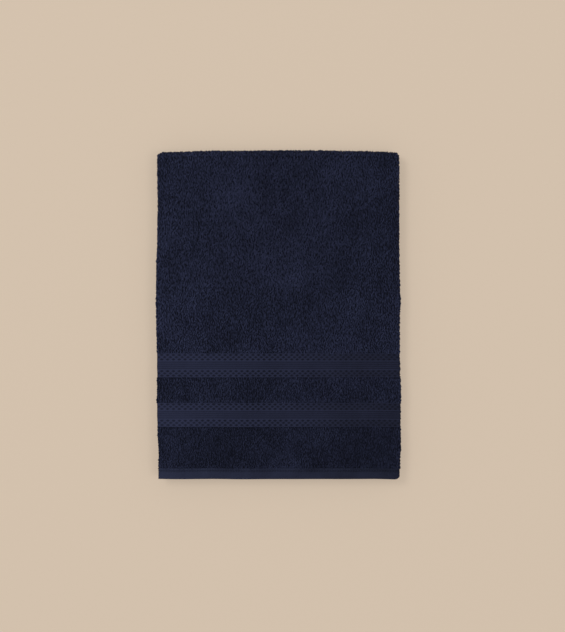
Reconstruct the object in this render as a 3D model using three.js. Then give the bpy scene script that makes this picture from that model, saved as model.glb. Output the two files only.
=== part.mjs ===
// A bath towel of one woven cloth, folded in half along its length and then in three across,
// like a letter Z, so that one end lies on top with its borders and its hem at the front.
// Millimetres. X runs across the folded towel, Y along it towards the back, Z up.
// The origin is the middle of the underside.

import * as THREE from 'three';

// the folded towel, seen from above
const FOLDED_WIDTH = 344;
const FOLDED_LENGTH = 462;

// one layer of cloth, measured over its loops where it has them
const TERRY_THICKNESS = 4.2;
const BORDER_THICKNESS = 2.4;
const HEM_THICKNESS = 2.6;
const SIDE_HEM_THICKNESS = 1.6;

// clearances between layers that lie on each other and between neighbouring weaves
const LAYER_GAP = 0.3;
const ZONE_GAP = 0.3;

// what is woven and sewn at each end of the cloth, counted inwards from the end
const HEM_DEPTH = 15;
const END_STRIP_DEPTH = 57.5;
const BORDER_DEPTH = 34.5;
const BAND_DEPTH = 35;

// the side edges, turned onto the inner face of the lengthwise fold
const SIDE_HEM_WIDTH = 9;

// the row of stitches that holds each end hem
const STITCH_THICKNESS = 0.4;
const STITCH_WIDTH = 1.2;
const STITCH_INSET = 3;
const STITCH_END_INSET = 1.5;

// how far the front fold and the bottom hem stay back from the outline
const FRONT_FOLD_INSET = 1;
const BOTTOM_HEM_INSET = 2;

// flat facets that stand for each round fold
const CROSS_FOLD_STEPS = 16;
const SIDE_FOLD_STEPS = 8;

// colours as sRGB
const TERRY_COLOUR = 0x1c1f2f;
const BORDER_COLOUR = 0x222536;
const HEM_COLOUR = 0x242736;
const THREAD_COLOUR = 0x2c3042;

// one third is two layers, and a cross fold turns one third over onto the next
const LAYER_PITCH = TERRY_THICKNESS + LAYER_GAP;
const THIRD_THICKNESS = 2 * TERRY_THICKNESS + LAYER_GAP;
const THIRD_PITCH = THIRD_THICKNESS + LAYER_GAP;
const THIRD_MIDDLE = THIRD_THICKNESS / 2;
const CROSS_FOLD_RADIUS = THIRD_THICKNESS + LAYER_GAP / 2;

const LEFT_EDGE = -FOLDED_WIDTH / 2;
const SIDE_FOLD_X = FOLDED_WIDTH / 2 - THIRD_MIDDLE;
const FRONT = -FOLDED_LENGTH / 2;
const BACK = FOLDED_LENGTH / 2;
const BACK_FOLD_Y = BACK - CROSS_FOLD_RADIUS;
const FRONT_FOLD_Y = FRONT + FRONT_FOLD_INSET + CROSS_FOLD_RADIUS;

function clothMaterial(colour, roughness) {
  return new THREE.MeshStandardMaterial({ color: colour, roughness, metalness: 0 });
}

// The cut across two layers joined by the round side fold at the right. x is across the towel and
// y is the height above the underside of its third. inside and outside are the distances of the
// cloth's two faces from the plane between the layers. Within the side hem's width the inner face
// steps back to hemInside, which leaves room for that hem.
function doubledSection(inside, outside, left, hemInside = inside) {
  const stepX = left + SIDE_HEM_WIDTH + LAYER_GAP;
  const section = new THREE.Shape();
  section.moveTo(left, THIRD_MIDDLE - outside);
  section.lineTo(SIDE_FOLD_X, THIRD_MIDDLE - outside);
  section.absarc(SIDE_FOLD_X, THIRD_MIDDLE, outside, -Math.PI / 2, Math.PI / 2, false);
  section.lineTo(left, THIRD_MIDDLE + outside);
  section.lineTo(left, THIRD_MIDDLE + hemInside);
  if (hemInside > inside) {
    section.lineTo(stepX, THIRD_MIDDLE + hemInside);
    section.lineTo(stepX, THIRD_MIDDLE + inside);
  }
  section.lineTo(SIDE_FOLD_X, THIRD_MIDDLE + inside);
  section.absarc(SIDE_FOLD_X, THIRD_MIDDLE, inside, Math.PI / 2, -Math.PI / 2, true);
  if (hemInside > inside) {
    section.lineTo(stepX, THIRD_MIDDLE - inside);
    section.lineTo(stepX, THIRD_MIDDLE - hemInside);
  }
  section.lineTo(left, THIRD_MIDDLE - hemInside);
  section.closePath();
  return section;
}

// a woven zone of the given thickness, clear of the side hem along its left edge
function clothSection(thickness) {
  const hemInside = LAYER_GAP / 2 + SIDE_HEM_THICKNESS + LAYER_GAP;
  const inside = (LAYER_PITCH - thickness) / 2;
  return doubledSection(inside, inside + thickness, LEFT_EDGE, hemInside);
}

function endHemSection() {
  const inside = (LAYER_PITCH - HEM_THICKNESS) / 2;
  return doubledSection(inside, inside + HEM_THICKNESS, LEFT_EDGE);
}

// the thread lies on the outside of the hem's two layers and round its side fold
function stitchSection() {
  const inside = (LAYER_PITCH + HEM_THICKNESS) / 2 + LAYER_GAP;
  return doubledSection(inside, inside + STITCH_THICKNESS, LEFT_EDGE + STITCH_END_INSET);
}

// one turned-in side edge: layer is 1 for the upper layer of its third and -1 for the lower
function sideHemSection(layer) {
  const near = THIRD_MIDDLE + layer * LAYER_GAP / 2;
  const far = near + layer * SIDE_HEM_THICKNESS;
  const section = new THREE.Shape();
  section.moveTo(LEFT_EDGE, Math.min(near, far));
  section.lineTo(LEFT_EDGE + SIDE_HEM_WIDTH, Math.min(near, far));
  section.lineTo(LEFT_EDGE + SIDE_HEM_WIDTH, Math.max(near, far));
  section.lineTo(LEFT_EDGE, Math.max(near, far));
  section.closePath();
  return section;
}

// the section carried straight along Y from one value to another
function straight(section, fromY, toY) {
  const depth = Math.abs(toY - fromY);
  const geometry = new THREE.ExtrudeGeometry(section, {
    depth,
    steps: 1,
    curveSegments: SIDE_FOLD_STEPS,
    bevelEnabled: false,
  });
  geometry.rotateX(Math.PI / 2);
  geometry.translate(0, Math.max(fromY, toY), 0);
  return geometry;
}

// The section carried half a turn about the X axis, as the cloth goes round a cross fold. The
// section's height becomes the distance from that axis. side is 1 where the fold bulges towards
// the back and -1 where it bulges towards the front.
function foldedOver(section, side) {
  const geometry = new THREE.ExtrudeGeometry(section, {
    depth: Math.PI,
    steps: CROSS_FOLD_STEPS,
    curveSegments: SIDE_FOLD_STEPS,
    bevelEnabled: false,
  });
  const place = geometry.attributes.position;
  for (let i = 0; i < place.count; i += 1) {
    const angle = place.getZ(i);
    const distance = place.getY(i) + LAYER_GAP / 2;
    place.setY(i, side * distance * Math.sin(angle));
    place.setZ(i, -side * distance * Math.cos(angle));
  }
  return geometry;
}

function addPiece(group, name, geometry, colour, roughness) {
  const piece = new THREE.Mesh(geometry, clothMaterial(colour, roughness));
  piece.name = name;
  group.add(piece);
}

// The pieces of a third that ends in a hem. hemY is the hem's outer edge, foldY is where the
// cross fold begins, and inwards is the direction along Y from the one to the other.
function addEndThird(third, name, hemY, foldY, inwards) {
  const innerEdge = hemY + inwards * HEM_DEPTH;
  addPiece(third, `end_hem_${name}`,
    straight(endHemSection(), hemY, innerEdge - inwards * ZONE_GAP / 2), HEM_COLOUR, 0.85);

  const stitchFar = innerEdge - inwards * STITCH_INSET;
  const stitchNear = stitchFar - inwards * STITCH_WIDTH;
  addPiece(third, `hem_stitching_${name}`,
    straight(stitchSection(), stitchNear, stitchFar), THREAD_COLOUR, 0.7);

  const zones = [
    ['terry_end', END_STRIP_DEPTH, TERRY_THICKNESS, TERRY_COLOUR, 0.97],
    ['outer_border', BORDER_DEPTH, BORDER_THICKNESS, BORDER_COLOUR, 0.85],
    ['terry_band', BAND_DEPTH, TERRY_THICKNESS, TERRY_COLOUR, 0.97],
    ['inner_border', BORDER_DEPTH, BORDER_THICKNESS, BORDER_COLOUR, 0.85],
  ];
  let edge = innerEdge;
  for (const [zone, depth, thickness, colour, roughness] of zones) {
    const nextEdge = edge + inwards * depth;
    const from = edge + inwards * ZONE_GAP / 2;
    const to = nextEdge - inwards * ZONE_GAP / 2;
    addPiece(third, `${zone}_${name}`, straight(clothSection(thickness), from, to),
      colour, roughness);
    edge = nextEdge;
  }
  const foldEdge = foldY - inwards * ZONE_GAP;
  const field = straight(clothSection(TERRY_THICKNESS), edge + inwards * ZONE_GAP / 2, foldEdge);
  addPiece(third, `terry_field_${name}`, field, TERRY_COLOUR, 0.97);
  addSideHems(third, name, innerEdge + inwards * ZONE_GAP / 2, foldEdge);
}

function addSideHems(third, name, fromY, toY) {
  addPiece(third, `side_hem_${name}_upper`,
    straight(sideHemSection(1), fromY, toY), HEM_COLOUR, 0.85);
  addPiece(third, `side_hem_${name}_lower`,
    straight(sideHemSection(-1), fromY, toY), HEM_COLOUR, 0.85);
}

// the cloth and its two side hems round a cross fold whose axis is the group's X axis
function addCrossFold(fold, name, side) {
  addPiece(fold, name, foldedOver(clothSection(TERRY_THICKNESS), side), TERRY_COLOUR, 0.97);
  addPiece(fold, `side_hem_${name}_outer`,
    foldedOver(sideHemSection(1), side), HEM_COLOUR, 0.85);
  addPiece(fold, `side_hem_${name}_inner`,
    foldedOver(sideHemSection(-1), side), HEM_COLOUR, 0.85);
}

const towel = new THREE.Group();

const bottomThird = new THREE.Group();
addEndThird(bottomThird, 'bottom', BACK - BOTTOM_HEM_INSET, FRONT_FOLD_Y, -1);
towel.add(bottomThird);

const middleThird = new THREE.Group();
middleThird.position.z = THIRD_PITCH;
const middleFrom = FRONT_FOLD_Y + ZONE_GAP;
const middleTo = BACK_FOLD_Y - ZONE_GAP;
addPiece(middleThird, 'terry_field_middle',
  straight(clothSection(TERRY_THICKNESS), middleFrom, middleTo), TERRY_COLOUR, 0.97);
addSideHems(middleThird, 'middle', middleFrom, middleTo);
towel.add(middleThird);

const topThird = new THREE.Group();
topThird.position.z = 2 * THIRD_PITCH;
addEndThird(topThird, 'top', FRONT, BACK_FOLD_Y, 1);
towel.add(topThird);

const frontFold = new THREE.Group();
frontFold.position.set(0, FRONT_FOLD_Y, THIRD_PITCH - LAYER_GAP / 2);
addCrossFold(frontFold, 'front_fold', -1);
towel.add(frontFold);

const backFold = new THREE.Group();
backFold.position.set(0, BACK_FOLD_Y, 2 * THIRD_PITCH - LAYER_GAP / 2);
addCrossFold(backFold, 'back_fold', 1);
towel.add(backFold);

export default towel;
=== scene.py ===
"""A folded terry bath towel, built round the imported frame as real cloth.

The whole towel is one map from flat cloth to folded cloth. u runs across the cloth from one side
edge to the other, t runs along it from the bottom hem to the top hem, and w is the height above the
middle of its thickness, positive on the face that shows. Every piece is a stretch of that map.
"""

import math

import bpy
import numpy as np
from bpy.props import FloatProperty, FloatVectorProperty, PointerProperty
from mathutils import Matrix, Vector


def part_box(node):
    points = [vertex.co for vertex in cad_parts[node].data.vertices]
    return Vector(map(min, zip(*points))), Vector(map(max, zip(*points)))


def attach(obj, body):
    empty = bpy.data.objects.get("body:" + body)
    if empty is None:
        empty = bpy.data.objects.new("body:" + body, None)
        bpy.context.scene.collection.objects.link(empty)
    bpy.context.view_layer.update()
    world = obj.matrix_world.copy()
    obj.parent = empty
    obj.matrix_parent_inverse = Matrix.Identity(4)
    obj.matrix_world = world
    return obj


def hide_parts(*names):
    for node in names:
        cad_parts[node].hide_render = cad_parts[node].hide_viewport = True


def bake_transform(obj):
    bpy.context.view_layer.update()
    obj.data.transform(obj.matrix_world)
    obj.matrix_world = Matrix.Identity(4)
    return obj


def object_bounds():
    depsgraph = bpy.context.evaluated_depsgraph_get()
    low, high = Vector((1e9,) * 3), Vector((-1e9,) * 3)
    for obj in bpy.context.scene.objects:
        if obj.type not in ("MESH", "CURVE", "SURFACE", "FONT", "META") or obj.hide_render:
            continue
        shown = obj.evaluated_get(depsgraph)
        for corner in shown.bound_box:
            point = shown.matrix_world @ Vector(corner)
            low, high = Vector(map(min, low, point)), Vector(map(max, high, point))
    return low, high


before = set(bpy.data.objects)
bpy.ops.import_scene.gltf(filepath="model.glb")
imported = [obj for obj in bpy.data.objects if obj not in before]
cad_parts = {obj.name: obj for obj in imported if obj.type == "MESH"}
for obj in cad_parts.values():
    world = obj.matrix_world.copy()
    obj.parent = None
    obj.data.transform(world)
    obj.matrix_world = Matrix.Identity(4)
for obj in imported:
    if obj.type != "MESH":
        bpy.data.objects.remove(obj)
CAD_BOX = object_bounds()

bl_info = {
    "name": "Folded Bath Towel",
    "version": (1, 0, 0),
    "blender": (4, 5, 0),
    "location": "3D View > Sidebar > Towel",
    "description": "Makes a folded terry towel with woven borders, hems and a looped pile",
    "category": "Add Mesh",
}

MM = 0.001
HALF_TURN = math.pi


# ---- places and sizes, read from the frame ---------------------------------------------------


def low(node):
    """A node's lowest corner."""
    return np.array(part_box(node)[0])


def high(node):
    """A node's highest corner."""
    return np.array(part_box(node)[1])


LEFT = low("terry_field_middle")[0]
RIGHT = high("terry_field_middle")[0]
THIRD = high("terry_field_bottom")[2] - low("terry_field_bottom")[2]
THIRD_PITCH = low("terry_field_middle")[2] - low("terry_field_bottom")[2]
GAP = THIRD_PITCH - THIRD
LAYER = (THIRD - GAP) / 2
HALF_PITCH = (LAYER + GAP) / 2
SIDE_FOLD_X = RIGHT - THIRD / 2
LEAF = SIDE_FOLD_X - LEFT
SIDE_ARC = HALF_TURN * HALF_PITCH
ACROSS = 2 * LEAF + SIDE_ARC

FRONT_FOLD_Y = high("front_fold")[1]
BACK_FOLD_Y = low("back_fold")[1]
BOTTOM_HEM_Y = high("end_hem_bottom")[1]
TOP_HEM_Y = low("end_hem_top")[1]
FOLD_MIDDLE = THIRD_PITCH / 2
FOLD_ARC = HALF_TURN * FOLD_MIDDLE

# t at the ends of the bottom third, the front fold, the middle third, the back fold and the top
T_FRONT = BOTTOM_HEM_Y - FRONT_FOLD_Y
T_MIDDLE = T_FRONT + FOLD_ARC
T_BACK = T_MIDDLE + BACK_FOLD_Y - FRONT_FOLD_Y
T_TOP = T_BACK + FOLD_ARC
T_END = T_TOP + BACK_FOLD_Y - TOP_HEM_Y

BORDER_DEPTH = high("inner_border_top")[1] - low("inner_border_top")[1]
BORDER = high("inner_border_top")[2] - low("inner_border_top")[2] - (LAYER + GAP)
HEM = high("end_hem_top")[2] - low("end_hem_top")[2] - (LAYER + GAP)
SIDE_HEM = high("side_hem_middle_upper")[2] - low("side_hem_middle_upper")[2]
SIDE_HEM_WIDTH = high("side_hem_middle_upper")[0] - LEFT
FOLDS = {
    "front": ("bottom_third", "middle_third", T_FRONT, T_MIDDLE),
    "back": ("middle_third", "top_third", T_BACK, T_TOP),
}


def along_cloth(node):
    """The stretch of t that a node of an end third covers, half the gap to each neighbour in."""
    near, far = low(node)[1], high(node)[1]
    if node.endswith("bottom"):
        span = (BOTTOM_HEM_Y - far, BOTTOM_HEM_Y - near)
    else:
        span = (T_TOP + BACK_FOLD_Y - far, T_TOP + BACK_FOLD_Y - near)
    return span[0] - GAP / 2, span[1] + GAP / 2


# ---- the map from flat cloth to folded cloth -------------------------------------------------


def waves(x, y, length, seed):
    """A smooth, gentle height from -1 to 1: the mean of five sine waves in different directions,
    each a little shorter than the one before."""
    draw = np.random.default_rng(seed)
    total = 0.0
    for turn in range(5):
        angle = draw.uniform(0, HALF_TURN)
        size = length / (1 + 0.3 * turn)
        along = (x * math.cos(angle) + y * math.sin(angle)) * 2 * HALF_TURN / size
        total = total + np.sin(along + draw.uniform(0, 2 * HALF_TURN))
    return total / 5


def rise(value, start, end):
    """0 before start, 1 after end and a smooth step between them."""
    share = np.clip((value - start) / (end - start), 0, 1)
    return share * share * (3 - 2 * share)


def hump(value, middle, reach):
    """1 at the middle, falling to 0 with the square of the distance over reach."""
    return np.exp(-(((value - middle) / reach) ** 2))


def side_slip(t, upper):
    """How far each layer's open edge stays back from the outline: two slow waves along the
    cloth, always inwards, and none for the layer on top."""
    wander = 1.1 + 0.7 * np.sin(t * 9.0 + 2.0 * upper) + 0.4 * np.sin(t * 23.0 + upper)
    lying_on_top = rise(t, T_BACK, T_TOP) * upper
    return MM * wander * (1 - lying_on_top)


def folded(u, t, w):
    """The folded place of each point of the cloth. Across, the two leaves lie flat and an arc about
    the side fold joins them. Along, each third lies flat and two half turns join the thirds."""
    turn = np.clip((u - LEAF) / HALF_PITCH, 0, HALF_TURN)
    upper = (u > LEAF + SIDE_ARC / 2).astype(float)
    back = np.maximum(np.maximum(LEAF - u, u - LEAF - SIDE_ARC), 0)
    back = back * (1 - side_slip(t, upper) / LEAF)
    radius = HALF_PITCH + w
    x = SIDE_FOLD_X + radius * np.sin(turn) - back
    h = -radius * np.cos(turn)

    front = np.clip((t - T_FRONT) / FOLD_MIDDLE, 0, HALF_TURN)
    rear = np.clip((t - T_BACK) / FOLD_MIDDLE, 0, HALF_TURN)
    y_bottom = BOTTOM_HEM_Y - t
    y_middle = FRONT_FOLD_Y + t - T_MIDDLE
    y_top = BACK_FOLD_Y - (t - T_TOP)
    round_front = FOLD_MIDDLE - h
    round_back = FOLD_MIDDLE + h
    stretch = [t < T_FRONT, t < T_MIDDLE, t < T_BACK, t < T_TOP]
    y = np.select(
        stretch,
        [
            y_bottom,
            FRONT_FOLD_Y - round_front * np.sin(front),
            y_middle,
            BACK_FOLD_Y + round_back * np.sin(rear),
        ],
        y_top,
    )
    axis_front = THIRD_PITCH - GAP / 2
    axis_back = 2 * THIRD_PITCH - GAP / 2
    z = np.select(
        stretch,
        [
            THIRD / 2 + h,
            axis_front - round_front * np.cos(front),
            THIRD_PITCH + THIRD / 2 - h,
            axis_back - round_back * np.cos(rear),
        ],
        2 * THIRD_PITCH + THIRD / 2 + h,
    )
    return np.stack([x, y, z], -1)


# how far the middle of the back edge stands out past its ends, and how the corners are rounded:
# how far back each goes, and how far in from the side that starts
BACK_BOW = 2.8 * MM
BACK_LEFT_CORNER = (3.4 * MM, 12 * MM)
BACK_RIGHT_CORNER = (3.0 * MM, 10 * MM)
FRONT_RIGHT_CORNER = (4.3 * MM, 11 * MM)
FRONT_LIES_OUT = 0.5 * MM

# how much thicker the stack is at each of its folds and thinner at its open edges, as shares, and
# the height below which it is squeezed on the floor
BACK_PLUMP, FRONT_PLUMP, SIDE_PLUMP = 0.035, 0.03, 0.03
OPEN_EDGES_SINK = 0.05
SOFT_FLOOR = 0.5 * MM

# how far each side edge lies in from the outline, in millimetres, at places along the towel
EDGE_AT = (-221, -210, -190, -162, -141, -106, -71, -50, -8, 20, 48, 76, 104, 160, 216)
LEFT_IN = (2.9, 3.9, 3.9, 2.0, 1.1, 1.7, 1.0, 1.3, 0.4, 0.0, 0.5, 0.8, 1.9, 2.6, 1.9)
RIGHT_IN = (1.2, 1.4, 0.2, 0.1, -0.3, 0.3, 0.4, 1.8, 1.7, 0.3, 1.5, 2.2, 2.4, 2.4, 2.5)


def rounded_corner(x, corner):
    """How far an edge goes back where it nears a corner at the right. For the left, x is turned."""
    depth, reach = corner
    return depth * rise(x, RIGHT - reach, RIGHT) ** 2


def settled(place):
    """The folded stack as it lies after it is put down: each side edge wanders, the back edge bows,
    the corners are rounded, and the stack is plumper along its folds. Height is only ever scaled,
    and squeezed softly just above the floor, so layers keep their order and none goes through."""
    x, y, z = place[..., 0], place[..., 1], place[..., 2]
    at = np.array(EDGE_AT) * MM
    left_in = np.interp(y, at, LEFT_IN) * rise(-x, 0, RIGHT)
    right_in = np.interp(y, at, RIGHT_IN) * rise(x, 0, RIGHT)
    wander = 0.3 * waves(y, 0 * y, 0.05, 5) * np.clip(2 * x / RIGHT, -1, 1)
    x = x + (left_in - right_in - wander) * MM

    back_in = BACK_BOW * np.clip(np.abs(x / RIGHT), 0, 1) ** 2
    back_in += rounded_corner(-x, BACK_LEFT_CORNER) + rounded_corner(x, BACK_RIGHT_CORNER)
    y = y - rise(y, BACK_FOLD_Y - 60 * MM, BACK_FOLD_Y) * back_in
    front_in = rounded_corner(x, FRONT_RIGHT_CORNER) - FRONT_LIES_OUT
    y = y + rise(-y, -TOP_HEM_Y - 20 * MM, -TOP_HEM_Y) * front_in
    y = y + 0.7 * MM * waves(x, 0 * x, 0.16, 8) * rise(np.abs(y), 0.1, 0.2)

    plump = BACK_PLUMP * rise(y, 150 * MM, 215 * MM) + FRONT_PLUMP * rise(-y, 190 * MM, 215 * MM)
    plump = plump + SIDE_PLUMP * rise(x, RIGHT - 45 * MM, RIGHT - 6 * MM)
    plump = plump - OPEN_EDGES_SINK * rise(-x, RIGHT - 30 * MM, RIGHT)
    lie = 0.022 * waves(x, y, 0.21, 3) + 0.010 * waves(x, y, 0.085, 4)
    z = z * (1 + plump + lie)
    z = np.where(z < SOFT_FLOOR, SOFT_FLOOR * np.exp(np.minimum(z / SOFT_FLOOR - 1, 0)), z)
    return np.stack([x, y, z], -1)


def seed_of(name):
    """A fixed seed for a piece, from the letters of its name."""
    return sum((place + 1) * ord(letter) for place, letter in enumerate(name))


# ---- meshes ----------------------------------------------------------------------------------

# the UV map's name is the one that the export keeps when it suits the piece
CLOTH_MAP = "OFBake"


def new_piece(name, cloth, faces, corners, corner_uv, finish, shade):
    """A mesh object from points given on the cloth as u, t and w. faces is the list of corner
    counts and corners the vertex of each corner. The mesh is turned so that its volume is
    positive, and shade is a number per vertex that its finish reads."""
    place = settled(folded(cloth[:, 0], cloth[:, 1], cloth[:, 2]))
    starts = np.concatenate([[0], np.cumsum(faces)[:-1]]).astype(np.int32)
    if signed_volume(place, faces, corners, starts) < 0:
        order = turned(faces, starts)
        corners, corner_uv = corners[order], corner_uv[order]
    mesh = bpy.data.meshes.new(name)
    mesh.vertices.add(len(place))
    mesh.vertices.foreach_set("co", place.astype(np.float32).ravel())
    mesh.loops.add(len(corners))
    mesh.loops.foreach_set("vertex_index", corners.astype(np.int32))
    mesh.polygons.add(len(faces))
    mesh.polygons.foreach_set("loop_start", starts)
    mesh.polygons.foreach_set("use_smooth", faces <= 4)
    mesh.update(calc_edges=True)
    layer = mesh.uv_layers.new(name=CLOTH_MAP)
    layer.uv.foreach_set("vector", corner_uv.astype(np.float32).ravel())
    attribute = mesh.attributes.new("shade", "FLOAT", "POINT")
    attribute.data.foreach_set("value", shade.astype(np.float32))
    mesh.materials.append(finish)
    piece = bpy.data.objects.new(name, mesh)
    bpy.context.scene.collection.objects.link(piece)
    return piece


def signed_volume(place, faces, corners, starts):
    """About six times the volume inside the faces, from the triangle fans of all but the end faces,
    which have many corners. Only its sign is used."""
    total = 0.0
    for corner in (1, 2):
        pick = (faces <= 4) & (faces > corner + 1)
        first = place[corners[starts[pick]]]
        second = place[corners[starts[pick] + corner]]
        third = place[corners[starts[pick] + corner + 1]]
        total += float((first * np.cross(second, third)).sum())
    return total


def turned(faces, starts):
    """The order of the corners that turns every face over."""
    face = np.repeat(np.arange(len(faces)), faces)
    within = np.arange(faces.sum()) - starts[face]
    return starts[face] + faces[face] - 1 - within


def tube_wall(rows, columns):
    """The quads of a grid that closes on itself across its columns, as one run of corners, and the
    map of each corner: columns across, rows along."""
    row, column = np.meshgrid(np.arange(rows - 1), np.arange(columns), indexing="ij")
    here, above = row * columns, (row + 1) * columns
    after = (column + 1) % columns
    quads = np.stack([here + column, here + after, above + after, above + column], -1)
    across = np.stack([column, column + 1, column + 1, column], -1) / columns
    along = np.stack([row, row, row + 1, row + 1], -1) / (rows - 1)
    return quads.ravel(), across.ravel(), along.ravel()


def tube_faces(rows, columns):
    """The faces of a tube with a flat face over its first and last rows, and the map of each
    corner."""
    quads, across, along = tube_wall(rows, columns)
    ring = np.arange(columns)
    first, last = ring[::-1], (rows - 1) * columns + ring
    corners = np.concatenate([quads, first, last])
    across = np.concatenate([across, first / columns, ring / columns])
    along = np.concatenate([along, np.repeat([0.0, 1.0], columns)])
    faces = np.concatenate([np.full(len(quads) // 4, 4), [columns, columns]])
    return faces, corners, np.stack([across, along], -1)


def tube_piece(name, cloth, shade, finish):
    """A closed piece from a grid of points on the cloth, rings along and points round each, and
    its grid again."""
    faces, corners, uv = tube_faces(*cloth.shape[:2])
    return new_piece(name, cloth.reshape(-1, 3), faces, corners, uv, finish, shade.ravel()), cloth


def steps(start, end, size):
    """Even steps of about that size from start to end, both included."""
    count = max(int(round((end - start) / size)), 1)
    return np.linspace(start, end, count + 1)


def rounded_edge(distance, reach):
    """0 at an edge and 1 from reach inwards, rising as a quarter circle."""
    share = np.clip(distance / reach, 0, 1)
    return np.sqrt(np.clip(1 - (1 - share) ** 2, 0, 1))


# how far in from an open edge the cloth has its full thickness, how thin it is at that edge and at
# a lip, and the tone of its hidden inner face
EDGE_REACH = 1.0 * MM
THIN_EDGE = 0.02
THIN_LIP = 0.06
INNER_TONE = 0.3


def sheet_section(lower_step, upper_step):
    """The u of each point round a doubled sheet: out along the outer face from one open edge,
    round the side fold to the other, and back along the inner face in long steps."""
    close = EDGE_REACH * np.array([0.0, 0.12, 0.35, 0.7])
    leaf_a = np.concatenate([close, steps(EDGE_REACH, LEAF, lower_step)[:-1]])
    arc = steps(LEAF, LEAF + SIDE_ARC, SIDE_ARC / 10)
    to_arc = steps(ACROSS - EDGE_REACH, LEAF + SIDE_ARC, -upper_step)
    leaf_b = np.concatenate([ACROSS - close, to_arc[:-1]])
    outer = np.concatenate([leaf_a, arc, leaf_b[::-1]])
    hem_side = SIDE_HEM_WIDTH + GAP
    near = np.array([0.4 * EDGE_REACH, hem_side - 0.2 * MM, hem_side + 0.2 * MM])
    inner_leaf = np.concatenate([near, steps(hem_side + 8 * MM, LEAF, 16 * MM)[:-1]])
    inner_arc = steps(LEAF, LEAF + SIDE_ARC, SIDE_ARC / 4)
    inner = np.concatenate([inner_leaf, inner_arc, (ACROSS - inner_leaf)[::-1]])
    return outer, inner[::-1]


def doubled_sheet(name, span, thickness, finish, surface, lower_step, upper_step, row_step,
                  hem_room=True, lip=None):
    """A closed sheet of the doubled cloth over a stretch of t. surface(u, t, draw) gives the
    height of the outer face above the full thickness, and a shade. Where hem_room is set the inner
    face stays clear of the side hems. lip is the t of an end that closes to a rounded edge."""
    outer_u, inner_u = sheet_section(lower_step, upper_step)
    t = steps(span[0], span[1], row_step)
    if lip is not None:
        fine = thickness / 2 * (1 - np.cos(np.linspace(0, HALF_TURN / 2, 6)))
        inwards = np.sign(sum(span) / 2 - lip)
        t = np.sort(np.concatenate([lip + inwards * fine, t[np.abs(t - lip) > thickness / 2]]))
    draw = np.random.default_rng(seed_of(name))
    grid_t, grid_u = np.meshgrid(t, outer_u, indexing="ij")
    height, shade = surface(grid_u, grid_t, draw)
    open_edge = np.minimum(grid_u, ACROSS - grid_u)
    room = SIDE_HEM - HALF_PITCH + 1.5 * GAP if hem_room else -thickness / 2
    full = thickness / 2 + height
    closing = THIN_EDGE + (1 - THIN_EDGE) * rounded_edge(open_edge, EDGE_REACH)
    outer_w = np.where(open_edge < EDGE_REACH, room + (full - room) * closing, full)
    in_t, in_u = np.meshgrid(t, inner_u, indexing="ij")
    in_edge = np.minimum(in_u, ACROSS - in_u)
    inner_w = np.where(in_edge < SIDE_HEM_WIDTH + GAP, room, -thickness / 2) + 0 * in_t
    if lip is not None:
        shut = THIN_LIP + (1 - THIN_LIP) * rounded_edge(np.abs(t - lip), thickness / 2)[:, None]
        outer_w = outer_w * shut
        inner_w = inner_w * shut
    outer = np.stack([grid_u, grid_t, outer_w], -1)
    inner = np.stack([in_u, in_t, inner_w], -1)
    tone = np.concatenate([shade, np.full(in_u.shape, INNER_TONE)], 1)
    return tube_piece(name, np.concatenate([outer, inner], 1), tone, finish)


def unit(directions):
    """Each direction at length 1."""
    return directions / np.linalg.norm(directions, axis=1, keepdims=True)


def strands(name, at, run, out, size, finish, tone, rings=5, bow=0.0, squeeze=1.0):
    """Many short arched strands as one mesh. Each lies about its point at on the cloth, runs along
    run, arches along out, and is a three-sided tube: a sine arch with thin, sunk ends, bent to one
    side by bow times its length. size holds its length, height and half width. squeeze undoes the
    stretch that a strand gets where the cloth turns round a fold."""
    count = len(at)
    share = np.linspace(0, 1, rings)[None, :]
    length, height, half = (np.asarray(v).reshape(-1, 1) for v in size)
    arch = np.sin(HALF_TURN * share) ** 0.7
    forward = length * (share - 0.5) + 0.25 * length * arch
    lift = height * arch - 0.7 * half * (1 - arch)
    bend = length * np.asarray(bow).reshape(-1, 1) * np.sin(HALF_TURN * share)
    width = half * (0.55 + 0.45 * np.sin(HALF_TURN * share))
    side = unit(np.cross(run, out)) * squeeze
    run = run * squeeze
    centre = (
        at[:, None, :]
        + forward[..., None] * run[:, None, :]
        + lift[..., None] * out[:, None, :]
        + bend[..., None] * side[:, None, :]
    )
    ring = [(-1.0, -0.5), (0.0, 0.8), (1.0, -0.5)]
    corners_of_ring = [
        centre
        + (width * b)[..., None] * side[:, None, :]
        + (width * c)[..., None] * out[:, None, :]
        for b, c in ring
    ]
    cloth = np.stack(corners_of_ring, 2).reshape(-1, 3)
    quads, u_one, v_one = tube_wall(rings, 3)
    last = 3 * (rings - 1)
    one = np.concatenate([quads, [2, 1, 0], [last, last + 1, last + 2]])
    corners = (one[None, :] + 3 * rings * np.arange(count)[:, None]).ravel()
    faces = np.tile(np.concatenate([np.full(3 * (rings - 1), 4), [3, 3]]), count)
    u_one = np.concatenate([u_one, [0.9, 0.5, 0.1], [0.1, 0.5, 0.9]])
    v_one = np.concatenate([v_one, [0.02, 0.1, 0.02], [0.98, 0.9, 0.98]])
    wide = int(math.ceil(math.sqrt(count)))
    cell = np.stack([np.arange(count) % wide, np.arange(count) // wide], -1)
    uv = np.stack(
        [
            (cell[:, :1] + 0.04 + 0.92 * u_one[None, :]) / wide,
            (cell[:, 1:] + 0.04 + 0.92 * v_one[None, :]) / wide,
        ],
        -1,
    ).reshape(-1, 2)
    # painted shade: each strand is painted darker towards its sunk ends and palest at the top of its
    # arch, standing in for the shade where it meets the cloth
    rising = 0.45 + 0.7 * arch
    shade = np.repeat((tone[:, None] * rising).ravel(), 3)
    return new_piece(name, cloth, faces, corners, uv, finish, shade), cloth


# ---- finishes --------------------------------------------------------------------------------


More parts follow.
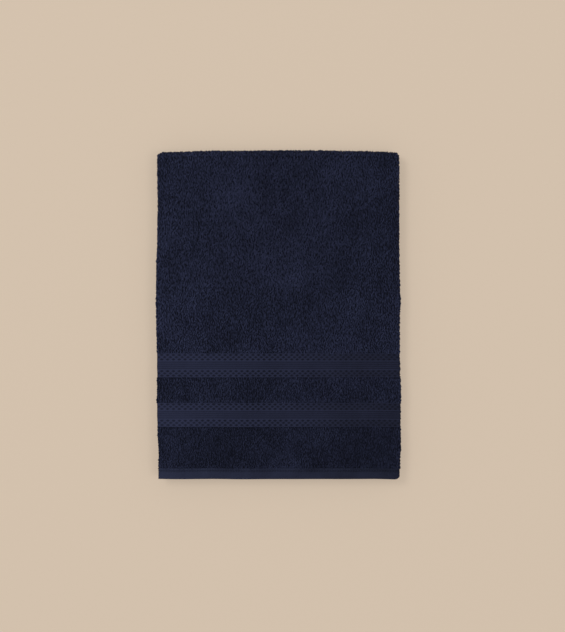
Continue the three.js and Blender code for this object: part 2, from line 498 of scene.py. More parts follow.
class Wire:
    """A shader socket that can be used in plain arithmetic. Each operation adds a Math node."""

    def __init__(self, finish, socket):
        self.finish = finish
        self.socket = socket

    def maths(self, operation, first, second):
        """One Math node."""
        return self.finish.node("ShaderNodeMath", {"operation": operation}, {0: first, 1: second})

    def __add__(self, other):
        return self.maths("ADD", self, other)

    def __radd__(self, other):
        return self.maths("ADD", other, self)

    def __sub__(self, other):
        return self.maths("SUBTRACT", self, other)

    def __rsub__(self, other):
        return self.maths("SUBTRACT", other, self)

    def __mul__(self, other):
        return self.maths("MULTIPLY", self, other)

    def __rmul__(self, other):
        return self.maths("MULTIPLY", other, self)


class Finish:
    """A material under construction."""

    def __init__(self, name):
        self.material = bpy.data.materials.new(name)
        self.material.use_nodes = True
        self.tree = self.material.node_tree
        self.shader = self.tree.nodes["Principled BSDF"]

    def node(self, kind, settings=None, inputs=None, output=0):
        """Adds a node: its settings are set first, then its sockets get values or links."""
        made = self.tree.nodes.new(kind)
        for key, value in (settings or {}).items():
            setattr(made, key, value)
        for key, value in (inputs or {}).items():
            self.put(made.inputs[key], value)
        return Wire(self, made.outputs[output])

    def put(self, socket, value):
        """Links a wire to a socket, or sets its value."""
        if isinstance(value, Wire):
            self.tree.links.new(value.socket, socket)
        else:
            socket.default_value = value

    def noise(self, where, scale, detail=2.0, roughness=0.5):
        """Noise from 0 to 1 with features of about 1 / scale metres."""
        return self.node(
            "ShaderNodeTexNoise",
            {},
            {"Vector": where, "Scale": scale, "Detail": detail, "Roughness": roughness},
        )

    def between(self, share, dark, light):
        """The colour that lies share of the way from dark to light."""
        return self.node(
            "ShaderNodeMix",
            {"data_type": "RGBA", "clamp_factor": True},
            {0: share, 6: (*dark, 1.0), 7: (*light, 1.0)},
            2,
        )

    def bump(self, height, distance, strength):
        """A Bump node's normal."""
        return self.node(
            "ShaderNodeBump", {}, {"Height": height, "Distance": distance, "Strength": strength}
        )


def scaled(colour, by):
    """A colour, lighter or darker."""
    return tuple(min(channel * by, 1.0) for channel in colour)


def cotton(finish, colour, share, palest, roughness, relief, depth, strength):
    """Gives a finish what all the cotton has in common: a colour from a quarter of its dye up to
    palest times it, as share goes from 0 to 1, a raised relief and a faint sheen."""
    shown = finish.between(share, scaled(colour, 0.25), scaled(colour, palest))
    finish.put(finish.shader.inputs["Base Color"], shown)
    finish.put(finish.shader.inputs["Roughness"], roughness)
    finish.put(finish.shader.inputs["Normal"], finish.bump(relief, depth, strength))
    finish.shader.inputs["Specular IOR Level"].default_value = 0.06
    finish.shader.inputs["Sheen Weight"].default_value = 0.05


def cloth_finish(name, colour, grain, depth, swing, loops=0.0):
    """Dyed cotton. The colour swings a little in brushed patches a few centimetres wide, in blotches
    of about a centimetre and from yarn to yarn, and follows each piece's own shade. grain is the
    width of the yarn's fuzz and depth how far it stands up. loops, where it isn't 0, is the width
    of the loops that the finish itself shows: cells longer along the towel than across it."""
    finish = Finish(name)
    where = finish.node("ShaderNodeTexCoord", {}, {}, "Object")
    patches = finish.noise(where, 16.0, 3.0, 0.55)
    blotches = finish.noise(where, 95.0, 2.0, 0.5)
    yarn = finish.noise(where, 1 / grain, 2.0, 0.6)
    tone = finish.node("ShaderNodeAttribute", {"attribute_name": "shade"}, {}, "Fac")
    share = (
        0.5
        + (patches - 0.5) * 1.5 * swing
        + (blotches - 0.5) * 0.6 * swing
        + (yarn - 0.5) * 0.9 * swing
        + (tone - 0.5)
    )
    relief = yarn
    if loops:
        along = finish.node(
            "ShaderNodeVectorMath", {"operation": "MULTIPLY"}, {0: where, 1: (1.0, 0.55, 1.0)}
        )
        cells = finish.node(
            "ShaderNodeTexVoronoi", {"feature": "F1"}, {"Vector": along, "Scale": 1 / loops}
        )
        # painted shade: each loop cell is painted darker towards its edges and paler in its middle, as
        # the gaps between loops and their tops
        share = share + (0.42 - cells) * 0.9
        relief = yarn * 0.5 + (1 - cells) * 1.2
    cotton(finish, colour, share, 1.95, 0.86 + (yarn - 0.5) * 0.16, relief, depth, 0.55)
    finish.shader.inputs["Sheen Roughness"].default_value = 0.45
    finish.shader.inputs["Sheen Tint"].default_value = (*scaled(colour, 9.0), 1.0)
    return finish.material


def woven_finish(name, colour, thread, depth):
    """Flat woven cotton: threads thread wide cross over and under, with nearly the same slow swing
    of colour as the pile beside them. depth is how far they stand up."""
    finish = Finish(name)
    where = finish.node("ShaderNodeTexCoord", {}, {}, "Object")
    patches = finish.noise(where, 18.0, 3.0, 0.55)
    fuzz = finish.noise(where, 0.6 / thread, 2.0, 0.6)
    apart = finish.node("ShaderNodeSeparateXYZ", {}, {0: where}).socket.node
    turns = 2 * HALF_TURN / thread
    warp = Wire(finish, apart.outputs[0]) * turns
    weft = Wire(finish, apart.outputs[1]) * turns
    over = finish.node("ShaderNodeMath", {"operation": "SINE"}, {0: warp})
    under = finish.node("ShaderNodeMath", {"operation": "SINE"}, {0: weft})
    weave = over * under * 0.5 + 0.5
    tone = finish.node("ShaderNodeAttribute", {"attribute_name": "shade"}, {}, "Fac")
    share = 0.5 + (patches - 0.5) * 0.4 + (fuzz - 0.5) * 0.3 + (weave - 0.5) * 0.25 + (tone - 0.5)
    relief = weave + fuzz * 0.7
    cotton(finish, colour, share, 1.7, 0.74 + (fuzz - 0.5) * 0.2, relief, depth, 0.6)
    finish.shader.inputs["Sheen Roughness"].default_value = 0.4
    finish.shader.inputs["Sheen Tint"].default_value = (*scaled(colour, 8.0), 1.0)
    return finish.material


def shared_finish(name, make, dye, *details):
    """The material of that name, made the first time it is asked for. dye is the name of the
    colour setting that it takes."""
    made = bpy.data.materials.get(name)
    return made or make(name, getattr(bpy.context.scene.towel_colours, dye), *details)


def terry_finish():
    """Looped pile."""
    return shared_finish("terry_pile", cloth_finish, "terry", 0.9 * MM, 0.35 * MM, 0.5)


def ground_finish():
    """The ground cloth between the loops, which shows a loop pattern where no loops stand on it."""
    return shared_finish(
        "terry_ground", cloth_finish, "terry", 0.8 * MM, 0.8 * MM, 0.6, 2.3 * MM
    )


def border_finish():
    """The woven borders."""
    return shared_finish("border_cloth", woven_finish, "border", 0.9 * MM, 0.12 * MM)


def hem_finish():
    """The turned and stitched hems."""
    return shared_finish("hem_cloth", woven_finish, "hem", 1.0 * MM, 0.12 * MM)


def thread_finish():
    """Sewing thread, a little brighter and smoother than the cloth."""
    return shared_finish("hem_thread", cloth_finish, "thread", 0.4 * MM, 0.05 * MM, 0.3)


# ---- how each zone's face is shaped ----------------------------------------------------------


def from_fold(u):
    """How far out a point is: 0 at the lengthwise fold and 1 at both side edges."""
    return np.abs(u - LEAF - SIDE_ARC / 2) / LEAF


def painted_light_across(u):
    """Painted light across the towel: below 0 round the lengthwise fold and above 0 towards both side
    edges, which are painted palest. It stands in for the light and sheen falling across the cloth."""
    return from_fold(u) ** 1.5 - 0.4


def looped_share(u, upper_leaf, lower_leaf):
    """1 where loops stand on the ground cloth and 0 where the ground itself carries the pile."""
    verge = 3 * MM
    share = rise(u, LEAF - verge, LEAF) * rise(ACROSS - u, LEAF - verge, LEAF)
    if upper_leaf:
        share = np.maximum(share, rise(u, LEAF, LEAF + verge))
    if lower_leaf:
        share = np.maximum(share, rise(ACROSS - u, LEAF, LEAF + verge))
    return share


def terry_surface(upper_leaf=False, lower_leaf=False):
    """The outer face of a terry stretch. Where loops are laid on it, it sinks under them. Elsewhere
    it is knobbly, one knob a loop, and just reaches the cloth's full thickness."""

    def surface(u, t, draw):
        knob = draw.uniform(0, 1, u.shape)
        looped = looped_share(u, upper_leaf, lower_leaf)
        under_loops = -1.6 * MM + 0.35 * MM * knob
        knobbly = -0.75 * MM + 0.75 * MM * knob
        height = looped * under_loops + (1 - looped) * knobbly
        # painted shade: under the loops the ground is painted very dark, and elsewhere each knob is
        # painted paler the higher it stands
        shade = looped * (0.15 * knob - 0.1) + (1 - looped) * (0.2 + 0.45 * knob)
        # painted light: the ground is painted paler towards the side edges and darker round the
        # lengthwise fold
        shade += bpy.context.scene.towel_colours.pile_fade * painted_light_across(u)
        return height, shade

    return surface


# the woven border: where its two cords and the row of crossing threads between them lie, measured
# in from each of the border's own edges, and the pitch of the row's cells and of the ribs
OUTER_CORD = 0.85 * MM
INNER_CORD = 11.1 * MM
CORD_WIDTH = 0.75 * MM
LATTICE_MIDDLE = 5.9 * MM
LATTICE_STEP = 3.1 * MM
LATTICE_PITCH = 7.6 * MM
LATTICE_WIDENING = 0.03
CELL_HEIGHT = 1.05 * MM
RIB_PITCH = 2.88 * MM

# how high each part of that relief stands, from 0 at its ground to 1 at its top, and how deep the
# cells still are at the lengthwise fold
OUTER_CORD_STANDS = 0.8
LATTICE_GROUND, LATTICE_THREADS = 0.36, 0.58
MIDDLE_CELLS_SINK = 0.7
PRESSED_CELLS = 0.45
RIB_GROUND, RIB_SWING = 0.34, 0.42
BORDER_GROUND = -0.62 * MM
BORDER_RELIEF = 0.8 * MM


def border_surface(start):
    """The relief of a woven border that starts at that t. Along each side runs a row of crossing
    threads, with two lines of deep cells and a shallower line between them half a cell on, held
    between two raised cords. Flat ribs fill the middle. The cells are pressed shallower towards
    the lengthwise fold, and are a little wider towards the side edges."""

    def surface(u, t, draw):
        depth = BORDER_DEPTH + GAP
        along = t - start
        from_edge = np.minimum(along, depth - along)
        cords = OUTER_CORD_STANDS * hump(from_edge, OUTER_CORD, CORD_WIDTH)
        cords += hump(from_edge, INNER_CORD, CORD_WIDTH)
        out = from_fold(u)
        turn = HALF_TURN * LEAF * out * (1 - LATTICE_WIDENING * out**2) / LATTICE_PITCH
        slope = HALF_TURN / 2 * (from_edge - LATTICE_MIDDLE) / LATTICE_STEP
        crossing = np.maximum(np.abs(np.cos(turn + slope)), np.abs(np.cos(turn - slope))) ** 3
        crossing = np.clip((crossing - 0.36) / 0.4, 0, 1)
        outer_cells = hump(from_edge, LATTICE_MIDDLE - LATTICE_STEP, CELL_HEIGHT)
        outer_cells += hump(from_edge, LATTICE_MIDDLE + LATTICE_STEP, CELL_HEIGHT)
        cells = outer_cells * np.cos(turn) ** 2
        middle_cells = MIDDLE_CELLS_SINK * hump(from_edge, LATTICE_MIDDLE, CELL_HEIGHT)
        cells += middle_cells * np.sin(turn) ** 2
        deep = PRESSED_CELLS + (1 - PRESSED_CELLS) * rise(out, 0.1, 0.6)
        crossed = (LATTICE_GROUND + LATTICE_THREADS * crossing * deep) * (1 - cells * deep)
        in_row = rise(from_edge, 0.0, 0.5 * MM)
        in_row *= rise(-from_edge, -INNER_CORD, 0.4 * MM - INNER_CORD)
        middle = along - depth / 2
        ribs = 0.5 + 0.5 * np.cos(2 * HALF_TURN * middle / RIB_PITCH)
        in_ribs = rise(from_edge, INNER_CORD - 0.2 * MM, INNER_CORD + 0.6 * MM)
        relief = np.maximum(np.clip(cords, 0, 1), in_row * crossed)
        relief = np.maximum(relief, in_ribs * (RIB_GROUND + RIB_SWING * ribs))
        uneven = draw.uniform(-1, 1, u.shape)
        height = BORDER_GROUND + BORDER_RELIEF * relief + 0.05 * MM * uneven
        # painted shade and highlight: the shade follows the relief, so cells and the hollows between ribs
        # are painted dark, cords and crossing threads pale
        shade = 0.76 * relief + 0.08 * uneven
        # painted light: the border is painted paler towards the side edges and darker round the
        # lengthwise fold
        shade += bpy.context.scene.towel_colours.woven_painted_light * painted_light_across(u)
        return height, shade

    return surface


STITCH_LENGTH = 3.0 * MM
STITCH_PITCH = 3.7 * MM
STITCH_HALF_WIDTH = 0.3 * MM


def hem_surface(stitch_t):
    """The face of an end hem: flat, drawn down along its row of stitches and puckered between
    them."""

    def surface(u, t, draw):
        row = hump(t, stitch_t, 1.3 * MM)
        pucker = np.cos(2 * HALF_TURN * u / STITCH_PITCH) * hump(t, stitch_t, 3.0 * MM)
        slow = waves(u, t, 0.045, 21)
        uneven = draw.uniform(-1, 1, u.shape)
        height = (-0.4 * row + 0.1 * pucker + 0.16 * slow + 0.04 * uneven - 0.1) * MM
        # painted shade: the shade follows the height, so the sunk row of stitches is painted darker and
        # the puckers, swells and raised specks paler
        shade = 0.5 - 0.3 * row + 0.1 * pucker + 0.1 * slow + 0.07 * uneven
        # painted light: the hem is painted paler towards the side edges and darker round the lengthwise
        # fold
        shade += bpy.context.scene.towel_colours.woven_painted_light * painted_light_across(u)
        return height, shade

    return surface


# ---- putting pieces on their bodies ----------------------------------------------------------


def place_piece(piece, cloth, body, fold=None):
    """Rides a piece on its body. A piece on a fold only has its transform baked into its mesh, and rides
    on no body.
    """
    if fold is None:
        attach(piece, body)
        return
    parent, child, start, end = FOLDS[fold]
    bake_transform(piece)
    t = cloth.reshape(-1, 3)[:, 1]
    share = np.clip((t - start) / (end - start), 0, 1).astype(np.float32)


END_BODIES = {"bottom": "bottom_third", "top": "top_third"}

# how fine the sheets' grids are: across a leaf, and from row to row along the towel
FINE = 2.0 * MM
UNDER_LOOPS = 4.0 * MM
KNOB_ROW = 2.6 * MM
FOLD_ROW = FOLD_ARC / 14
BORDER_FINE, BORDER_PLAIN, BORDER_ROW = 0.75 * MM, 1.4 * MM, 0.55 * MM
HEM_FINE, HEM_ROW = 1.2 * MM, 0.7 * MM


def make_sheet(node, span, build, body, slot, fold=None, rests_on=(), with_pieces=()):
    """One zone of the cloth, which stands for the CAD node of that name. build makes it, given its
    name and its stretch of t. It was cut from the towel's whole width over that stretch."""
    piece, cloth = build("cloth_" + node, span)
    place_piece(piece, cloth, body, fold)
    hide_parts(node)
    flat = (float(ACROSS), float(span[1] - span[0]))


def make_terry(node, span, body, looped=(), row=KNOB_ROW, **how):
    """One stretch of terry ground. looped names the leaves that loops are laid on."""
    lower_step = UNDER_LOOPS if "lower" in looped else FINE
    upper_step = UNDER_LOOPS if "upper" in looped else FINE

    def build(name, span):
        surface = terry_surface("upper" in looped, "lower" in looped)
        return doubled_sheet(name, span, LAYER, ground_finish(), surface, lower_step, upper_step, row)

    make_sheet(node, span, build, body, "terry", **how)


# ---- settings --------------------------------------------------------------------------------


def length_property(name, description, default):
    """A length setting."""
    return FloatProperty(
        name=name, description=description, default=default, subtype="DISTANCE", unit="LENGTH"
    )


def painted_light_property(name, description, default):
    """How strongly light is painted across a colour, from 0 to 1."""
    return FloatProperty(
        name=name, description=description, default=default, subtype="FACTOR", min=0, max=1
    )


def colour_property(name, description, default):
    """A colour setting."""
    return FloatVectorProperty(
        name=name, description=description, default=default, subtype="COLOR", size=3, min=0, max=1
    )


class TowelSizes(bpy.types.PropertyGroup):
    """The sizes of the pile that someone would change."""

    column: length_property(
        "Column", "From one line of loops to the next, across the towel", 1.9 * MM
    )
    row: length_property("Row", "From one loop to the next along its line", 2.8 * MM)
    loop_length: length_property(
        "Loop length", "How far a flattened loop reaches along the towel", 5.2 * MM
    )
    loop_height: length_property(
        "Loop height", "How high a loop stands off the ground cloth", 1.25 * MM
    )
    yarn: length_property("Yarn", "Half the width of the pile yarn", 0.74 * MM)


class TowelColours(bpy.types.PropertyGroup):
    """The dyes, as linear colour, and how strongly light is painted across the cloth."""

    terry: colour_property("Terry", "The looped pile", (0.0174, 0.0208, 0.0445))
    border: colour_property("Border", "The flat woven borders", (0.0135, 0.0160, 0.0350))
    hem: colour_property("Hem", "The turned hems", (0.0135, 0.0165, 0.0340))
    thread: colour_property("Thread", "The sewing thread", (0.0165, 0.0200, 0.0400))
    floor: colour_property("Floor", "The surface under the towel", (0.636, 0.522, 0.410))
    # painted light: the borders, hems and pile are painted paler towards the side edges and darker round
    # the lengthwise fold, standing in for light and sheen
    woven_painted_light: painted_light_property(
        "Woven painted light", "How much paler the borders and hems are at the side edges", 0.38
    )
    pile_fade: painted_light_property("Pile fade", "How much paler the pile is at the side edges", 0.12)


# ---- the operators ---------------------------------------------------------------------------


class MakePart(bpy.types.Operator):
    """What the operators share"""

    bl_options = {"REGISTER"}

    def execute(self, context):
        """Makes the pieces. A fault stops the script."""
        self.make(context.scene.towel_sizes)
        return {"FINISHED"}


# how much closer the loops stand on the cloth where it turns round a fold
FOLD_CROWD = FOLD_MIDDLE / (FOLD_MIDDLE + HALF_PITCH + LAYER / 2)
SIDE_CROWD = HALF_PITCH / (HALF_PITCH + LAYER / 2)

# how far a loop strays from its place, as a share of the pitch, how far from the ends of a stretch
# the first loops stand, and how far under the full thickness a loop is rooted
STRAYS_ACROSS = 0.35
STRAYS_ALONG = 0.4
PILE_VERGE = 1.2 * MM
LOOP_ROOT = 1.5 * MM


def loop_bed(u_span, t_span, sizes, draw, crowd):
    """Where the loops of a stretch stand: lines across, loops along, every other line half a loop
    on, and each loop a little out of place. They stand closer on the cloth where it turns round a
    fold, so that they come out evenly. Gives u, t and each loop's closeness across."""
    arc = (max(u_span[0], LEAF), min(u_span[1], LEAF + SIDE_ARC))
    ahead = steps(u_span[0], LEAF, sizes.column)[:-1] if u_span[0] < LEAF else []
    turning = steps(arc[0], arc[1], sizes.column * SIDE_CROWD)
    beyond = steps(LEAF + SIDE_ARC, u_span[1], sizes.column)[1:] if u_span[1] > arc[1] else []
    columns = np.concatenate([ahead, turning, beyond])
    close = np.where((columns > LEAF) & (columns < LEAF + SIDE_ARC), SIDE_CROWD, 1.0)
    row = sizes.row * crowd
    rows = np.arange(t_span[0], t_span[1], row) + row / 2
    u, t = np.meshgrid(columns, rows, indexing="ij")
    close = np.repeat(close[:, None], len(rows), 1)
    t = t + (np.arange(len(columns)) % 2)[:, None] * row / 2
    u = u + draw.uniform(-STRAYS_ACROSS, STRAYS_ACROSS, u.shape) * sizes.column * close
    t = t + draw.uniform(-STRAYS_ALONG, STRAYS_ALONG, t.shape) * row
    verge = PILE_VERGE * crowd
    return u.ravel(), np.clip(t.ravel(), t_span[0] + verge, t_span[1] - verge), close.ravel()


def face_pile(name, u_span, t_span, sizes, tone=0.5, crowd=1.0):
    """The loops on the outer face of a stretch. They lie along the towel, and lean to one side or
    the other in brushed patches."""
    draw = np.random.default_rng(seed_of(name))
    u, t, close = loop_bed(u_span, t_span, sizes, draw, crowd)
    count = len(u)
    squeeze = np.stack([close, np.full(count, crowd), np.ones(count)], -1)
    patch = waves(u, t, 0.07, 31) + 0.6 * waves(u, t, 0.022, 32)
    lean = 0.38 * patch + draw.normal(0, 0.24, count)
    flip = np.where(draw.uniform(0, 1, count) < 0.5, 1.0, -1.0)
    tilt = 0.1 * draw.normal(0, 1, count)
    run = unit(np.stack([np.sin(lean) * flip, np.cos(lean) * flip, tilt], -1))
    out = np.tile([0.0, 0.0, 1.0], (count, 1))
    at = np.stack([u, t, np.full(count, LAYER / 2 - LOOP_ROOT)], -1)
    swell = 1 + 0.16 * waves(u, t, 0.05, 33)
    size = (
        sizes.loop_length * draw.uniform(0.8, 1.3, count),
        sizes.loop_height * swell * draw.uniform(0.55, 1.35, count),
        sizes.yarn * draw.uniform(0.8, 1.15, count),
    )
    # painted light: the loops are painted paler towards the side edges and darker round the lengthwise
    # fold
    tone = tone + bpy.context.scene.towel_colours.pile_fade * painted_light_across(u)
    shade = tone * (1 + 0.14 * patch) * draw.uniform(0.55, 1.45, count)
    bow = draw.uniform(-0.2, 0.2, count)
    return strands(name, at, run, out, size, terry_finish(), shade, bow=bow, squeeze=squeeze)


def edge_pile(name, t_spans, sizes):
    """The loops along the open edges of both layers, pointing out sideways."""
    draw = np.random.default_rng(seed_of(name))
    t = np.concatenate([np.arange(a + MM, b - MM, sizes.row * 0.62) for a, b in t_spans])
    t = np.concatenate([t, t])
    count = len(t)
    upper = np.arange(count) >= count // 2
    t = t + draw.uniform(-0.5, 0.5, count) * sizes.row * 0.4
    w = draw.uniform(0.35, 1.45, count) * MM
    u = np.where(upper, ACROSS - 0.3 * MM, 0.3 * MM)
    flip = np.where(draw.uniform(0, 1, count) < 0.5, 1.0, -1.0)
    run = unit(np.stack([0 * t, flip, draw.normal(0, 0.2, count)], -1))
    out = np.stack([np.where(upper, 1.0, -1.0), 0 * t, 0 * t], -1)
    size = (
        0.75 * sizes.loop_length * draw.uniform(0.75, 1.2, count),
        0.6 * sizes.loop_height * draw.uniform(0.7, 1.3, count),
        0.75 * sizes.yarn * draw.uniform(0.8, 1.15, count),
    )
    at = np.stack([u, t, w], -1)
    return strands(name, at, run, out, size, terry_finish(), draw.uniform(0.3, 0.65, count))


def add_pile(made, body, fold=None):
    """Hands a pile piece to place_piece, and gives it back."""
    piece, cloth = made
    place_piece(piece, cloth, body, fold)
    return piece


# the stretches of u that loops are laid on: round the lengthwise fold alone, from it to the upper
# open edge, and from the lower open edge to it
PAST_FOLD = 3.2 * MM
FROM_OPEN_EDGE = 0.4 * MM
SIDE_PILE = (LEAF - PAST_FOLD, LEAF + SIDE_ARC + PAST_FOLD)
TOP_PILE = (LEAF - PAST_FOLD, ACROSS - FROM_OPEN_EDGE)
LOWER_PILE = (FROM_OPEN_EDGE, LEAF + PAST_FOLD)


class TOWEL_OT_field(MakePart):
    """Makes the three long terry fields and the loops that show on them"""

    bl_idname = "towel.field"
    bl_label = "Terry fields"

    def make(self, sizes):
        bottom = (along_cloth("terry_field_bottom")[0], T_FRONT)
        top = (T_TOP, along_cloth("terry_field_top")[1])
        cuts = np.linspace(top[0], top[1], 4)
        sides = [
            add_pile(face_pile("pile_field_bottom_side", SIDE_PILE, bottom, sizes), "bottom_third"),
            add_pile(face_pile("pile_field_middle_side", SIDE_PILE, (T_MIDDLE, T_BACK), sizes),
                     "middle_third"),
        ]
        shown = [
            add_pile(face_pile("pile_field_top_" + part, TOP_PILE, stretch, sizes), "top_third")
            for part, stretch in zip(("rear", "middle", "near"), zip(cuts, cuts[1:]))
        ]
        make_terry("terry_field_bottom", bottom, "bottom_third", with_pieces=[sides[0]])
        make_terry("terry_field_middle", (T_MIDDLE, T_BACK), "middle_third",
                   rests_on=["terry_field_bottom"], with_pieces=[sides[1]])
        make_terry("terry_field_top", top, "top_third", looped=["upper"],
                   rests_on=["terry_field_middle"], with_pieces=shown)


class TOWEL_OT_strips(MakePart):
    """Makes the terry bands between and outside the woven borders"""

    bl_idname = "towel.strips"
    bl_label = "Terry bands"

    def make(self, sizes):
        for end, body in END_BODIES.items():
            looped = ["upper"] if end == "top" else []
            bed = TOP_PILE if end == "top" else SIDE_PILE
            rests_on = ["terry_field_middle"] if end == "top" else []
            for zone, tone in (("terry_band", 0.43), ("terry_end", 0.31)):
                node = f"{zone}_{end}"
                span = along_cloth(node)
                pile = add_pile(face_pile("pile_" + node, bed, span, sizes, tone), body)
                make_terry(node, span, body, looped, rests_on=rests_on, with_pieces=[pile])


class TOWEL_OT_folds(MakePart):
    """Makes the terry where it turns round the front and back folds"""

    bl_idname = "towel.folds"
    bl_label = "Cross folds"

    def make(self, sizes):
        for fold, leaf, bed in (("front", "lower", LOWER_PILE), ("back", "upper", TOP_PILE)):
            parent, child, start, end = FOLDS[fold]
            loops = face_pile(f"pile_{fold}_fold", bed, (start, end), sizes, crowd=FOLD_CROWD)
            pile = add_pile(loops, parent, fold)
            make_terry(f"{fold}_fold", (start, end), parent, [leaf], FOLD_ROW, fold=fold,
                       with_pieces=[pile])


class TOWEL_OT_edges(MakePart):
    """Makes the loops that show along the open side edges"""

    bl_idname = "towel.edges"
    bl_label = "Edge loops"

    def make(self, sizes):
        for end, body in END_BODIES.items():
            spans = [along_cloth(f"{zone}_{end}") for zone in ("terry_field", "terry_band", "terry_end")]
            add_pile(edge_pile(f"pile_edges_{end}", spans, sizes), body)
        add_pile(edge_pile("pile_edges_middle", [(T_MIDDLE, T_BACK)], sizes), "middle_third")
        for fold, (parent, child, start, end) in FOLDS.items():
            add_pile(edge_pile(f"pile_edges_{fold}_fold", [(start, end)], sizes), parent, fold)


class TOWEL_OT_borders(MakePart):
    """Makes the four woven borders"""

    bl_idname = "towel.borders"
    bl_label = "Woven borders"

    def make(self, sizes):
        for end, body in END_BODIES.items():
            upper_step = BORDER_FINE if end == "top" else BORDER_PLAIN

            def build(name, span):
                return doubled_sheet(name, span, BORDER, border_finish(), border_surface(span[0]),
                                     BORDER_PLAIN, upper_step, BORDER_ROW)

            for zone in ("inner_border", "outer_border"):
                node = f"{zone}_{end}"
                make_sheet(node, along_cloth(node), build, body, "woven_border")


class TOWEL_OT_hems(MakePart):
    """Makes both end hems and the rows of stitches that hold them"""

    bl_idname = "towel.hems"
    bl_label = "End hems"

    def make(self, sizes):
        for end, body in END_BODIES.items():
            node = f"end_hem_{end}"
            span = along_cloth(node)
            thread = along_cloth(f"hem_stitching_{end}")
            stitch_t = sum(thread) / 2
            lip = 0.0 if end == "bottom" else T_END
            span = (max(span[0], 0.0), min(span[1], T_END))
            stitches, route = self.stitches(f"stitches_{end}", stitch_t)
            place_piece(stitches, route, body)
            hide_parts(f"hem_stitching_{end}")

            def build(name, span):
                return doubled_sheet(name, span, HEM, hem_finish(), hem_surface(stitch_t),
                                     HEM_FINE, HEM_FINE, HEM_ROW, hem_room=False, lip=lip)

            make_sheet(node, span, build, body, "hem", with_pieces=[stitches])

    def stitches(self, name, stitch_t):
        """A row of short threads across both layers and round the side fold."""
        draw = np.random.default_rng(seed_of(name))
        u = np.arange(2.2 * MM, ACROSS - 2.2 * MM, STITCH_PITCH)
        count = len(u)
        at = np.stack([u, np.full(count, stitch_t), np.full(count, HEM / 2 - 0.42 * MM)], -1)
        run = np.stack([np.ones(count), draw.normal(0, 0.03, count), 0 * u], -1)
        out = np.tile([0.0, 0.0, 1.0], (count, 1))
        size = (
            np.full(count, STITCH_LENGTH),
            draw.uniform(0.38, 0.46, count) * MM,
            np.full(count, STITCH_HALF_WIDTH),
        )
        tone = draw.uniform(0.65, 0.85, count)
        return strands(name, at, run, out, size, thread_finish(), tone, rings=7)


class TOWEL_OT_side_hems(MakePart):
    """Makes the turned-in side edges of every layer"""

    bl_idname = "towel.side_hems"
    bl_label = "Side hems"

    def make(self, sizes):
        hem_end = along_cloth("end_hem_bottom")[1]
        top_end = along_cloth("end_hem_top")[0]
        spans = {
            "bottom": ((hem_end, T_FRONT), "bottom_third", None, ("lower", "upper")),
            "front_fold": ((T_FRONT, T_MIDDLE), "bottom_third", "front", ("outer", "inner")),
            "middle": ((T_MIDDLE, T_BACK), "middle_third", None, ("upper", "lower")),
            "back_fold": ((T_BACK, T_TOP), "middle_third", "back", ("inner", "outer")),
            "top": ((T_TOP, top_end), "top_third", None, ("lower", "upper")),
        }
        for place, (span, body, fold, layers) in spans.items():
            for leaf, layer in enumerate(layers):
                node = f"side_hem_{place}_{layer}"
                piece, cloth = self.strip("cloth_" + node, span, leaf, fold)
                place_piece(piece, cloth, body, fold)
                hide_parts(node)

    def strip(self, name, span, leaf, fold):
        """A flat strip with a round outer edge, along one open edge: leaf 0 is the cloth's first
        side edge and 1 its other."""
        inside, outside = -LAYER / 2 + 0.05 * MM, -LAYER / 2 + SIDE_HEM + 0.1 * MM
        middle, half = (inside + outside) / 2, (outside - inside) / 2
        bend = np.linspace(-HALF_TURN / 2, HALF_TURN / 2, 7)
        edge_u = half * (1 - np.cos(bend)) - 0.15 * MM
        flat_u = steps(half + 1.5 * MM, SIDE_HEM_WIDTH, 2.2 * MM)
        u = np.concatenate([flat_u[::-1], edge_u, flat_u])
        w = np.concatenate([np.full(len(flat_u), inside), middle + half * np.sin(bend),
                            np.full(len(flat_u), outside)])
        t = steps(span[0], span[1], FOLD_ROW if fold else 3.0 * MM)
        grid_t, grid_u = np.meshgrid(t, u, indexing="ij")
        draw = np.random.default_rng(seed_of(name))
        wobble = 0.12 * MM * waves(grid_t, 0 * grid_t, 0.03, 41)
        grid_u = grid_u + wobble + 0.06 * MM * draw.uniform(-1, 1, grid_u.shape)
        grid_u = ACROSS - grid_u if leaf else grid_u
        cloth = np.stack([grid_u, grid_t, 0 * grid_t + w[None, :]], -1)
        shade = 0.42 + 0.12 * draw.uniform(-1, 1, grid_u.shape)
        return tube_piece(name, cloth, shade, hem_finish())


FLOOR_REACH = 3.0
FLOOR_GLOW = 0.6
SKY_COLOUR = (1.0, 0.985, 0.965, 1.0)
SKY_STRENGTH = 0.66
# each lamp's name, place, width in metres and power in watts
LAMPS = (
    ("soft_left", (-2.0, 1.4, 4.2), 1.6, 84.0),
    ("soft_right", (2.2, -0.8, 4.2), 1.6, 42.0),
)
# the lens and the sensor in millimetres, the length that the camera sees at the height of the
# towel's top face, and how far it stands aside from the towel's middle
LENS, SENSOR = 85.0, 36.0
VIEW_LENGTH = 0.8865
CAMERA_ASIDE = (5.3 * MM, -2.5 * MM)


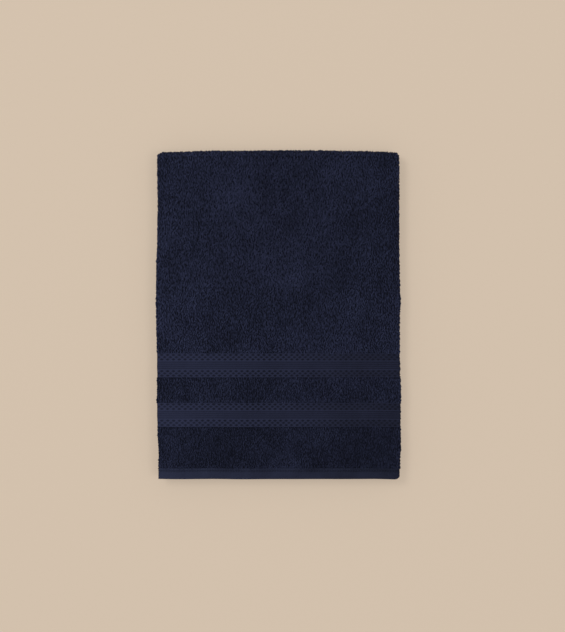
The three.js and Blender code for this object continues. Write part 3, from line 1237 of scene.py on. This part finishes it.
class TOWEL_OT_stage(bpy.types.Operator):
    """Makes the floor, the soft lights and the camera above the towel"""

    bl_idname = "towel.stage"
    bl_label = "Floor, lights and camera"
    bl_options = {"REGISTER"}

    def execute(self, context):
        self.floor(context.scene.towel_colours)
        self.lights(context.scene)
        self.camera(context.scene)
        return {"FINISHED"}

    def floor(self, hues):
        """A plain pale surface that glows a little, so that the towel's shadow on it stays light."""
        mesh = bpy.data.meshes.new("floor")
        corners = [(FLOOR_REACH * x, FLOOR_REACH * y, 0) for x, y in ((-1, -1), (1, -1), (1, 1), (-1, 1))]
        mesh.from_pydata(corners, [], [(0, 1, 2, 3)])
        finish = Finish("floor")
        where = finish.node("ShaderNodeTexCoord", {}, {}, "Object")
        grain = finish.noise(where, 260.0, 3.0, 0.6)
        colour = tuple(hues.floor)
        shown = finish.between(grain, scaled(colour, 0.37), scaled(colour, 0.39))
        finish.put(finish.shader.inputs["Base Color"], shown)
        finish.shader.inputs["Emission Color"].default_value = (*colour, 1.0)
        finish.shader.inputs["Emission Strength"].default_value = FLOOR_GLOW
        finish.shader.inputs["Roughness"].default_value = 0.9
        finish.shader.inputs["Specular IOR Level"].default_value = 0.1
        mesh.materials.append(finish.material)
        floor = bpy.data.objects.new("floor", mesh)
        bpy.context.scene.collection.objects.link(floor)

    def lights(self, scene):
        """Daylight from all round and two large soft lamps high up, the left one the stronger."""
        world = bpy.data.worlds.new("daylight")
        world.use_nodes = True
        sky = world.node_tree.nodes["Background"]
        sky.inputs["Color"].default_value = SKY_COLOUR
        sky.inputs["Strength"].default_value = SKY_STRENGTH
        scene.world = world
        for name, place, size, power in LAMPS:
            light = bpy.data.lights.new(name, "AREA")
            light.shape = "SQUARE"
            light.size = size
            light.energy = power
            lamp = bpy.data.objects.new(name, light)
            scene.collection.objects.link(lamp)
            lamp.location = place
            aim = -np.array(place) / np.linalg.norm(place)
            lamp.rotation_euler = (
                math.acos(-aim[2]), 0.0, math.atan2(aim[1], aim[0]) - HALF_TURN / 2
            )

    def camera(self, scene):
        """Straight above and square to the towel, and as far up as the view's length asks."""
        data = bpy.data.cameras.new("camera")
        data.lens = LENS
        data.sensor_width = SENSOR
        data.clip_end = 20.0
        camera = bpy.data.objects.new("camera", data)
        scene.collection.objects.link(camera)
        top = float(CAD_BOX[1][2])
        camera.location = (*CAMERA_ASIDE, top + VIEW_LENGTH * LENS / SENSOR)
        camera.rotation_euler = (0.0, 0.0, 0.0)
        scene.camera = camera
        scene.view_settings.view_transform = "Standard"


class TOWEL_PT_panel(bpy.types.Panel):
    """The towel's settings and steps"""

    bl_idname = "TOWEL_PT_panel"
    bl_label = "Folded towel"
    bl_space_type = "VIEW_3D"
    bl_region_type = "UI"
    bl_category = "Towel"

    def draw(self, context):
        layout = self.layout
        for group in (context.scene.towel_sizes, context.scene.towel_colours):
            for key in group.__annotations__:
                layout.prop(group, key)
        for step in STEPS:
            layout.operator(step.bl_idname)


STEPS = (
    TOWEL_OT_stage,
    TOWEL_OT_field,
    TOWEL_OT_strips,
    TOWEL_OT_folds,
    TOWEL_OT_edges,
    TOWEL_OT_borders,
    TOWEL_OT_hems,
    TOWEL_OT_side_hems,
)
CLASSES = (TowelSizes, TowelColours, *STEPS, TOWEL_PT_panel)


def register():
    """Registers the classes and the settings."""
    for made in CLASSES:
        bpy.utils.register_class(made)
    bpy.types.Scene.towel_sizes = PointerProperty(type=TowelSizes)
    bpy.types.Scene.towel_colours = PointerProperty(type=TowelColours)


def unregister():
    """Takes the settings and the classes away again."""
    del bpy.types.Scene.towel_colours
    del bpy.types.Scene.towel_sizes
    for made in reversed(CLASSES):
        bpy.utils.unregister_class(made)


def main():
    register()
    for step in STEPS:
        group, action = step.bl_idname.split(".")
        getattr(getattr(bpy.ops, group), action)()


if __name__ == "__main__":
    main()
